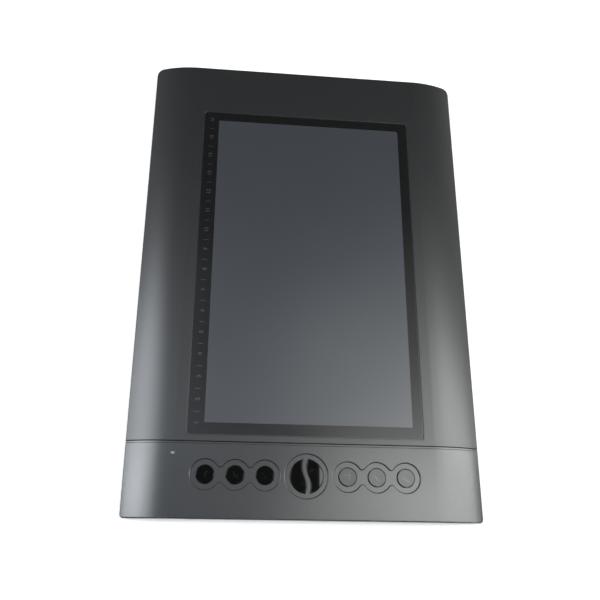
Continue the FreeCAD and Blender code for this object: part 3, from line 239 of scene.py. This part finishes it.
# %% Casing plastic
PLASTIC_IOR = 1.65
FRONT_GREY = (0.0178, 0.0181, 0.0184, 1)
PANEL_GREY = (0.0235, 0.0238, 0.024, 1)
REAR_BLACK = (0.015, 0.015, 0.016, 1)
front_plastic = finish_of("front_cover_plastic", FRONT_GREY, 0.34, grain=0.35 * MM,
                          depth=0.003 * MM, IOR=PLASTIC_IOR)
panel_plastic = finish_of("key_panel_plastic", PANEL_GREY, 0.26, grain=0.3 * MM,
                          depth=0.002 * MM, IOR=PLASTIC_IOR)
rear_plastic = finish_of("rear_cover_plastic", REAR_BLACK, 0.5, grain=0.6 * MM,
                         depth=0.012 * MM, IOR=PLASTIC_IOR)
dress(front_plastic, "front_cover")
dress(panel_plastic, "key_panel")
dress(rear_plastic, "rear_cover")

# %% [markdown]
# ## The overlay sheet
# One clear film covers the sensor. It is printed black from behind, apart from the drawing area,
# where a matte blue-grey shows. A mask from the coordinates says which is which: four comparisons
# multiplied together make the rectangle, and a fifth takes off its far right corner. The border
# and the drawing area each have a shader of their own, because they differ in gloss as well as in
# colour, and the mask mixes the two. The drawing area feels like paper, so it gets a fine tooth
# in its bump, and the border stays smooth.

# %% Edges of the drawing area
KEY_END = cad_box[0].y
AREA_LEFT = -70.0 * MM
AREA_RIGHT = 74.5 * MM
AREA_NEAR = KEY_END + 62.8 * MM
AREA_FAR = KEY_END + 303.1 * MM
AREA_CORNER = 2.0 * MM
area_size = (AREA_RIGHT - AREA_LEFT, AREA_FAR - AREA_NEAR)
print("drawing area, mm:", [round(size / MM, 1) for size in area_size])


def area_mask(tree, place):
    """1 on the drawing area and 0 on the border round it."""
    x = along(tree, place, "X")
    y = along(tree, place, "Y")
    inside = (x > AREA_LEFT) * (x < AREA_RIGHT) * (y > AREA_NEAR) * (y < AREA_FAR)
    past_x = tree.maths("MAXIMUM", x - (AREA_RIGHT - AREA_CORNER), 0.0)
    past_y = tree.maths("MAXIMUM", y - (AREA_FAR - AREA_CORNER), 0.0)
    return inside * (past_x * past_x + past_y * past_y < AREA_CORNER ** 2)


# %% Overlay film
FILM_IOR = 1.47
BORDER_BLACK = (0.0086, 0.0086, 0.0088, 1)
AREA_DARK = (0.039, 0.0432, 0.0502, 1)
AREA_LIGHT = (0.042, 0.0464, 0.054, 1)
BORDER_ROUGHNESS = 0.22
AREA_ROUGHNESS = 0.32
RIPPLE = 0.03


def overlay_film():
    """Black smooth film with a matte blue-grey area in it."""
    material, tree = start("overlay_film")
    place = place_of(tree)
    tooth = noise(tree, place, 0.12 * MM)
    cloud = noise(tree, place, 30 * MM, detail=3.0)
    ripple = (cloud - 0.5) * RIPPLE
    border = principled(tree, Base_Color=BORDER_BLACK, Roughness=ripple + BORDER_ROUGHNESS,
                        IOR=FILM_IOR)
    matte = principled(tree, Base_Color=cloud.mix(AREA_DARK, AREA_LIGHT),
                       Roughness=ripple + AREA_ROUGHNESS, Normal=bump(tree, tooth, 0.0012 * MM),
                       IOR=PLASTIC_IOR)
    both = {0: area_mask(tree, place), 1: border, 2: matte}
    return close(material, tree, tree.node("ShaderNodeMixShader", {}, both))


dress(overlay_film(), "drawing_sheet")

# %% [markdown]
# ## Ink on the soft-key strip
# Sixteen soft keys run up the left border. Each has a number that reads from the key end
# upwards, with a short dash between one and the next. They could be part of the film's material,
# but a pattern of digits is hard to draw with maths, so they are thin meshes of ink. The numbers
# are made from text, which turns into a mesh once, and then no font is needed. A dash is a line
# of ink that has a width.

# %% A piece of ink and a number
INK_THICKNESS = 0.012 * MM
BORDER_STEP = 0.1 * MM
NUMBER_BOLDNESS = 0.03


def add_piece(name, mesh, body, material, place):
    """Put a mesh in the scene as a piece that rides on a CAD body."""
    piece = bpy.data.objects.new(name, mesh)
    piece.location = place
    scene.collection.objects.link(piece)
    mesh.materials.clear()
    mesh.materials.append(material)
    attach(piece, body)


def text_mesh(text, height):
    """The outline of a text as a flat slab of ink, centred on the origin and this high."""
    curve = bpy.data.curves.new("ink_text", "FONT")
    curve.body = text
    curve.offset = NUMBER_BOLDNESS
    curve.resolution_u = 3
    curve.extrude = 0.5
    writer = bpy.data.objects.new("ink_text", curve)
    mesh = bpy.data.meshes.new_from_object(writer)
    bpy.data.objects.remove(writer)
    points = [vertex.co for vertex in mesh.vertices]
    low = Vector([min(point[i] for point in points) for i in range(3)])
    high = Vector([max(point[i] for point in points) for i in range(3)])
    scale = height / (high.y - low.y)
    middle = (low + high) / 2
    for vertex in mesh.vertices:
        spot = vertex.co - middle
        vertex.co = (spot.x * scale, spot.y * scale, spot.z * INK_THICKNESS)
    return mesh


# %% Many numbers as one mesh
def join_meshes(name, parts):
    """One mesh from several, each turned a quarter left and moved to its place."""
    vertices = []
    faces = []
    for mesh, x, y in parts:
        offset = len(vertices)
        vertices += [(x - vertex.co.y, y + vertex.co.x, vertex.co.z) for vertex in mesh.vertices]
        faces += [[offset + i for i in polygon.vertices] for polygon in mesh.polygons]
        bpy.data.meshes.remove(mesh)
    joined = bpy.data.meshes.new(name)
    joined.from_pydata(vertices, [], faces)
    return joined


# %% Lines of ink
def strokes_mesh(name, strokes, half_width):
    """Lines of ink along lists of points, as slabs that lie flat."""
    vertices = []
    faces = []
    for stroke in strokes:
        points = [Vector(point) for point in stroke]
        count = len(points)
        right = []
        left = []
        for i, point in enumerate(points):
            ahead = (points[min(i + 1, count - 1)] - points[max(i - 1, 0)]).normalized()
            aside = Vector((-ahead.y, ahead.x)) * half_width
            right.append(point - aside)
            left.append(point + aside)
        low = len(vertices)
        high = low + 2 * count
        vertices += [(x, y, z) for z in (-INK_THICKNESS / 2, INK_THICKNESS / 2) for x, y in right + left]
        for i in range(count - 1):
            faces.append([high + i, high + i + 1, high + count + i + 1, high + count + i])
            faces.append([low + count + i, low + count + i + 1, low + i + 1, low + i])
        rim = list(range(count)) + list(range(2 * count - 1, count - 1, -1))
        faces += [[low + a, low + b, high + b, high + a] for a, b in zip(rim, rim[1:] + rim[:1])]
    mesh = bpy.data.meshes.new(name)
    mesh.from_pydata(vertices, [], faces)
    return mesh


# %% Print the strip
SOFT_KEYS = 16
SOFT_KEY_PITCH = 16.1 * MM
STRIP_X = -75.5 * MM
FIRST_NUMBER = KEY_END + 62.4 * MM
FIRST_DASH = KEY_END + 69.9 * MM
NUMBER_HEIGHT = 3.1 * MM
DASH_REACH = 1.9 * MM
DASH_HALF_WIDTH = 0.22 * MM
STRIP_INK_IOR = 1.8
strip_ink = finish_of("strip_ink", grey(0.014), 0.4, grain=0.1 * MM, depth=0.001 * MM, IOR=STRIP_INK_IOR)
numbers = [(text_mesh(str(n + 1), NUMBER_HEIGHT), STRIP_X, FIRST_NUMBER + n * SOFT_KEY_PITCH)
           for n in range(SOFT_KEYS)]
dashes = [[(STRIP_X + side * DASH_REACH, FIRST_DASH + n * SOFT_KEY_PITCH) for side in (-1, 1)]
          for n in range(SOFT_KEYS - 1)]
strip_place = (0, 0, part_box("drawing_sheet")[1].z - BORDER_STEP + INK_THICKNESS / 2)
add_piece("soft_key_numbers", join_meshes("soft_key_numbers", numbers), "casing",
          strip_ink, strip_place)
add_piece("soft_key_dashes", strokes_mesh("soft_key_dashes", dashes, DASH_HALF_WIDTH), "casing",
          strip_ink, strip_place)
print("strip:", len(numbers), "numbers and", len(dashes), "dashes")

# %% [markdown]
# ## Keys, lamp and feet
# The key caps are polished black, so they act as dark mirrors: those on the left show the dark
# ceiling, and those on the right show the lamp. Only a very low roughness gives that. Each cap
# also has a faint mark, just a plain bent line or two. A mark is a thin piece of clear ink, a
# little paler and glossier than the cap, so it shows on a dark cap and on a bright one. It rides
# on its key's body and goes down with it. The status lamp is a small light guide, and it glows by
# itself with a bluish white. The feet are dull rubber.

# %% Key caps
KEY_IOR = 1.53
key_gloss = finish_of("key_gloss", grey(0.0045), 0.025, grain=3 * MM, depth=0.0, cloud=0.02,
                      spread=0.01, IOR=KEY_IOR)
dress(key_gloss, "round_key_*", "half_key_*")

# %% Marks on the keys
# Lines whose points are in millimetres from the middle of the key, or of the ring for the half keys
KEY_MARKS = {
    "round_key_1": [[(0.1, -1.9), (0.1, 0.2), (0.5, 1.4), (1.3, 1.9), (2.1, 1.6), (2.3, 0.7)]],
    "round_key_2": [[(-1.5, 1.9), (-0.6, 0.9), (-0.1, -0.3), (0.0, -1.5)],
                    [(1.5, 0.1), (1.5, -1.2), (1.2, -2.1)]],
    "round_key_3": [[(-1.8, 1.3), (-0.9, 0.6)], [(0.1, -1.2), (1.5, -1.9)]],
    "round_key_4": [[(-1.9, 1.5), (-0.9, 0.9)], [(-0.2, 1.4), (2.2, 1.4)], [(1.0, 1.0), (0.8, -1.9)]],
    "round_key_5": [[(-2.4, 1.1), (-0.9, 0.3), (0.0, -1.0), (1.0, -2.2)]],
    "round_key_6": [[(-2.0, 1.2), (-1.7, -0.2), (-0.4, -1.3), (2.4, -2.6)]],
    "half_key_left": [[(-3.4, -4.2), (-3.0, -5.2), (-2.1, -5.3), (-1.7, -4.4)]],
    "half_key_right": [[(2.0, 2.0), (2.3, 3.5), (3.2, 4.1), (4.9, 4.2)]],
}
KEY_ROW = KEY_END + 28.4 * MM
MARK_HALF_WIDTH = 0.28 * MM
KEY_INK_IOR = 1.7
key_ink = finish_of("key_ink", grey(0.017), 0.06, grain=0.3 * MM, depth=0.0, spread=0.02, IOR=KEY_INK_IOR)
for key, strokes in KEY_MARKS.items():
    low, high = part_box(key)
    key_x = (low.x + high.x) / 2 if key.startswith("round") else 0
    lines = [[(x * MM, y * MM) for x, y in stroke] for stroke in strokes]
    add_piece(key + "_mark", strokes_mesh(key + "_mark", lines, MARK_HALF_WIDTH), key + "_body",
              key_ink, (key_x, KEY_ROW, high.z + INK_THICKNESS / 2))
print("marks on", len(KEY_MARKS), "keys")

# %% Status lamp
GLOW_RADIUS = 1.3 * MM
GLOW_RIM = (0.05, 0.06, 0.08, 1)
GLOW_MIDDLE = (0.3, 0.33, 0.46, 1)
LENS_GREY = (0.06, 0.065, 0.075, 1)


def lamp_glow(low, high):
    """A lens that glows most in its middle; low and high are the corners of its box."""
    material, tree = start("lamp_glow")
    place = place_of(tree)
    x = along(tree, place, "X") - (low.x + high.x) / 2
    y = along(tree, place, "Y") - (low.y + high.y) / 2
    core = tree.maths("MAXIMUM", 1 - (x * x + y * y) * (1 / GLOW_RADIUS ** 2), 0.0)
    glow = (core * core).mix(GLOW_RIM, GLOW_MIDDLE)
    return close(material, tree, principled(
        tree, Base_Color=LENS_GREY, Roughness=0.25, Emission_Color=glow, Emission_Strength=1.0))


lens_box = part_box("lamp_lens")
dress(lamp_glow(*lens_box), "lamp_lens", "lamp_diode")
print("lamp lens, mm:", [round(size / MM, 1) for size in lens_box[1] - lens_box[0]])

# %% Rubber feet
rubber = finish_of("foot_rubber", grey(0.018), 0.75, grain=0.5 * MM, depth=0.02 * MM)
dress(rubber, "rubber_foot_*")

# %% [markdown]
# ## Metal, boards and the parts inside
# The socket's mouth and the screws underneath show; the rest is seen only when the tablet is
# taken apart. They nearly all use the shared finish, with each part's own colour, grain and
# depth. The two boards have copper tracks under their lacquer, which a pattern of bricks draws.

# %% Socket and screws
GOLD = (0.85, 0.6, 0.24, 1)
plated = finish_of("socket_plate", grey(0.62), 0.28, grain=0.2 * MM, depth=0.002 * MM, metallic=1.0)
tongue = finish_of("socket_tongue_plastic", grey(0.02), 0.4)
gold = finish_of("contact_gold", GOLD, 0.25, grain=0.1 * MM, depth=0.001 * MM, metallic=1.0)
black_steel = finish_of("screw_steel", grey(0.05), 0.38, grain=0.15 * MM, depth=0.003 * MM, metallic=0.8)
dress(plated, "usb_socket_shell")
dress(tongue, "usb_socket_tongue")
dress(gold, "usb_socket_contacts")
dress(black_steel, "case_screws", "board_screws")


# %% Circuit boards
def board_mask(name, lacquer, copper):
    """Green lacquer over a woven board, with the copper tracks showing through it."""
    material, tree = start(name)
    place = place_of(tree)
    weave = noise(tree, place, 0.5 * MM)
    tracks = tree.node("ShaderNodeTexBrick", {"offset": 0.35},
                       {"Vector": place, "Scale": 1.0, "Mortar Size": 0.25 * MM, "Mortar Smooth": 0.2,
                        "Brick Width": 9 * MM, "Row Height": 1.4 * MM}, out="Fac")
    return close(material, tree, principled(
        tree, Base_Color=tracks.mix(lacquer, copper), Roughness=weave * 0.1 + 0.3,
        Normal=bump(tree, tracks * 0.6 + weave * 0.4, 0.02 * MM)))


dress(board_mask("main_board_lacquer", (0.008, 0.075, 0.03, 1), (0.02, 0.14, 0.05, 1)), "main_board")
dress(board_mask("sensor_board_lacquer", (0.01, 0.06, 0.03, 1), (0.03, 0.12, 0.05, 1)), "sensor_board")

# %% The other inner parts
CERAMIC = (0.35, 0.22, 0.13, 1)
chip_resin = finish_of("chip_resin", grey(0.012), 0.55, grain=0.15 * MM, depth=0.004 * MM)
tinned = finish_of("tinned_steel", grey(0.5), 0.35, grain=0.3 * MM, depth=0.002 * MM, metallic=1.0)
ceramic = finish_of("fired_ceramic", CERAMIC, 0.5, grain=0.1 * MM)
nylon = finish_of("connector_nylon", grey(0.7, 0.03), 0.45)
ribbon = finish_of("ribbon_polyester", grey(0.75), 0.35, grain=1.2 * MM)
foam = finish_of("foam_cells", grey(0.03), 0.95, grain=0.7 * MM, depth=0.15 * MM, cloud=0.3)
film = finish_of("black_polyester", grey(0.02), 0.3, grain=2 * MM)
adhesive = finish_of("clear_adhesive", grey(0.6), 0.3, grain=2 * MM)
switch = finish_of("switch_case_plastic", grey(0.02), 0.5)
plunger = finish_of("pale_acetal", grey(0.65), 0.4)
dress(chip_resin, "controller_chip", "multiplexer_chips")
dress(tinned, "shield_plate", "crystal")
dress(ceramic, "capacitors")
dress(nylon, "board_connector", "sensor_connector")
dress(ribbon, "ribbon_cable")
dress(foam, "foam_pads")
dress(film, "insulating_film")
dress(adhesive, "sheet_adhesive")
dress(switch, "switch_body_*")
dress(plunger, "switch_plunger_*")

# %% [markdown]
# ## The studio
# The tablet lies on a white table. The floor is pale for the light that falls on it, and it also
# glows, but only for the camera, for mirrors and through glass. That brings it to white without
# more light on the tablet, and the tablet's shadow stays. The floor glows more away from the
# middle, because less lamplight falls there. A low wall runs round the table for the views from
# the side: white where it meets the floor, and dimmer with height.

# %% Pale card
def pale_card(name, glow_of):
    """Pale card; to the camera, to mirrors and through glass it also glows as glow_of(tree) says."""
    material, tree = start(name)
    kinds = ("Is Camera Ray", "Is Glossy Ray", "Is Transmission Ray")
    camera_ray, glossy, through = [tree.node("ShaderNodeLightPath", {}, {}, out=kind) for kind in kinds]
    seen = tree.maths("MAXIMUM", tree.maths("MAXIMUM", camera_ray, glossy), through)
    white = (seen * glow_of(tree)).mix((0, 0, 0, 1), grey(1.0))
    return close(material, tree, principled(
        tree, Base_Color=grey(0.8), Roughness=0.9, Emission_Color=white, Emission_Strength=1.0,
        Specular_IOR_Level=0.0))


def stage_piece(name, vertices, faces, material):
    """A mesh that belongs to the studio and not to the tablet."""
    mesh = bpy.data.meshes.new(name)
    mesh.from_pydata(vertices, [], faces)
    mesh.materials.append(material)
    piece = bpy.data.objects.new(name, mesh)
    scene.collection.objects.link(piece)


# %% How floor and wall glow
# A glow of 1 is white, distances are in metres, and the rise and the fade are per metre
LAMPLIT = 0.75
MIDDLE_GLOW = 0.45
MORE_GLOW = 0.5
GLOW_RISE = 0.7
WALL_FOOT = 0.97
WALL_FADE = 1.1
MOST_FADE = 0.75


def floor_glow(tree):
    """Steady within the lamplit middle, then more with distance up to a limit."""
    reach = tree.node("ShaderNodeVectorMath", {"operation": "LENGTH"}, {0: place_of(tree)}, out="Value")
    past = tree.maths("MAXIMUM", reach - LAMPLIT, 0.0)
    return tree.maths("MINIMUM", past * GLOW_RISE, MORE_GLOW) + MIDDLE_GLOW


def wall_glow(tree):
    """White at its foot, and dimmer with height down to a limit."""
    height = along(tree, place_of(tree), "Z")
    return (1 - tree.maths("MINIMUM", height * WALL_FADE, MOST_FADE)) * WALL_FOOT


# %% Floor and wall
REACH = 3.0
WALL = 1.6
SIDES = 48
ring = [(REACH * math.cos(2 * math.pi * i / SIDES), REACH * math.sin(2 * math.pi * i / SIDES))
        for i in range(SIDES)]
stage_piece("floor", [(x, y, 0) for x, y in ring], [list(range(SIDES))],
            pale_card("white_table", floor_glow))
wall_points = [(x, y, z) for z in (0, WALL) for x, y in ring]
wall_faces = [[(i + 1) % SIDES, i, SIDES + i, SIDES + (i + 1) % SIDES] for i in range(SIDES)]
stage_piece("wall", wall_points, wall_faces, pale_card("white_wall", wall_glow))
print("floor, m across:", 2 * REACH)

# %% [markdown]
# ## Light
# Large soft lamps make the long gentle gradients on satin plastic. Each is a rectangle that
# points straight down from a common height, so moving it is moving its picture on the tablet.
# The bright ones at the left and right light the rolled sides. Between them hang dim veils, which
# only lift the tone of the sheet and of the key panel, and gaps are left where the keys on the
# left have to stay dark.

# %% A lamp between four edges
LAMP_HEIGHT = 0.9
PALE = (0.985, 1.0, 1.0)
COOL = (0.95, 1.0, 1.06)
SKY = (0.9, 1.0, 1.1)


def softbox(name, left, right, near, far, radiance, colour):
    """A rectangular lamp at the common height between four edges, as bright as this where it is seen."""
    lamp = bpy.data.lights.new(name, "AREA")
    lamp.shape = "RECTANGLE"
    lamp.size = right - left
    lamp.size_y = far - near
    lamp.energy = radiance * math.pi * lamp.size * lamp.size_y
    lamp.color = colour
    holder = bpy.data.objects.new(name, lamp)
    holder.location = ((left + right) / 2, (near + far) / 2, LAMP_HEIGHT)
    holder.visible_camera = False
    scene.collection.objects.link(holder)


# %% Lamps at the left
softbox("left_outer_near", -1.5, -0.7, -0.2, -0.01, 12.4, COOL)
softbox("left_outer_far", -1.5, -0.7, -0.01, 0.24, 6.2, COOL)
softbox("left_outer_top", -1.5, -0.7, 0.24, 0.36, 14.1, COOL)
softbox("left_inner", -0.7, -0.5, -0.2, 0.24, 6.2, COOL)

# %% Dim veils over the left and the middle
softbox("left_veil", -0.5, -0.3, -0.2, 0.1, 0.95, SKY)
softbox("middle_veil_near", -0.3, -0.1, -0.2, -0.11, 1.3, SKY)
softbox("middle_veil_seam", -0.3, -0.1, -0.04, 0.02, 1.6, SKY)
softbox("middle_veil", -0.3, -0.1, 0.02, 0.14, 1.3, SKY)
softbox("middle_veil_far", -0.3, -0.1, 0.14, 0.4, 0.8, SKY)
softbox("centre_veil_near", -0.1, 0.05, -0.2, -0.105, 1.2, SKY)
softbox("centre_veil", -0.1, 0.04, -0.035, 0.02, 1.8, SKY)

# %% Lamps and veils at the right
softbox("right_edge", 0.14, 0.22, -0.13, 0.01, 3.6, PALE)
softbox("right_inner", 0.22, 0.3, -0.13, 0.01, 4.6, PALE)
softbox("right_middle", 0.3, 2.0, -0.13, 0.01, 5.3, PALE)
softbox("right_near_edge", 0.08, 0.3, -0.2, -0.13, 6.3, PALE)
softbox("right_near", 0.3, 2.0, -0.2, -0.13, 13.4, PALE)
softbox("right_veil_inner", 0.04, 0.22, 0.01, 0.14, 1.1, PALE)
softbox("right_veil", 0.22, 0.48, 0.01, 0.14, 1.8, PALE)
softbox("right_veil_far", 0.3, 0.6, 0.24, 0.45, 0.7, PALE)
softbox("right_far", 0.48, 2.0, 0.01, 0.24, 9.5, PALE)
softbox("right_top", 0.08, 0.3, 0.16, 0.24, 4.2, PALE)
print("lamps:", len(bpy.data.lights))

# %% Dim ceiling
CEILING = (0.02, 0.02, 0.02, 1)
world = bpy.data.worlds.new("dim_ceiling")
world.use_nodes = True
world.node_tree.nodes["Background"].inputs["Color"].default_value = CEILING
scene.world = world
scene.view_settings.view_transform = "Standard"
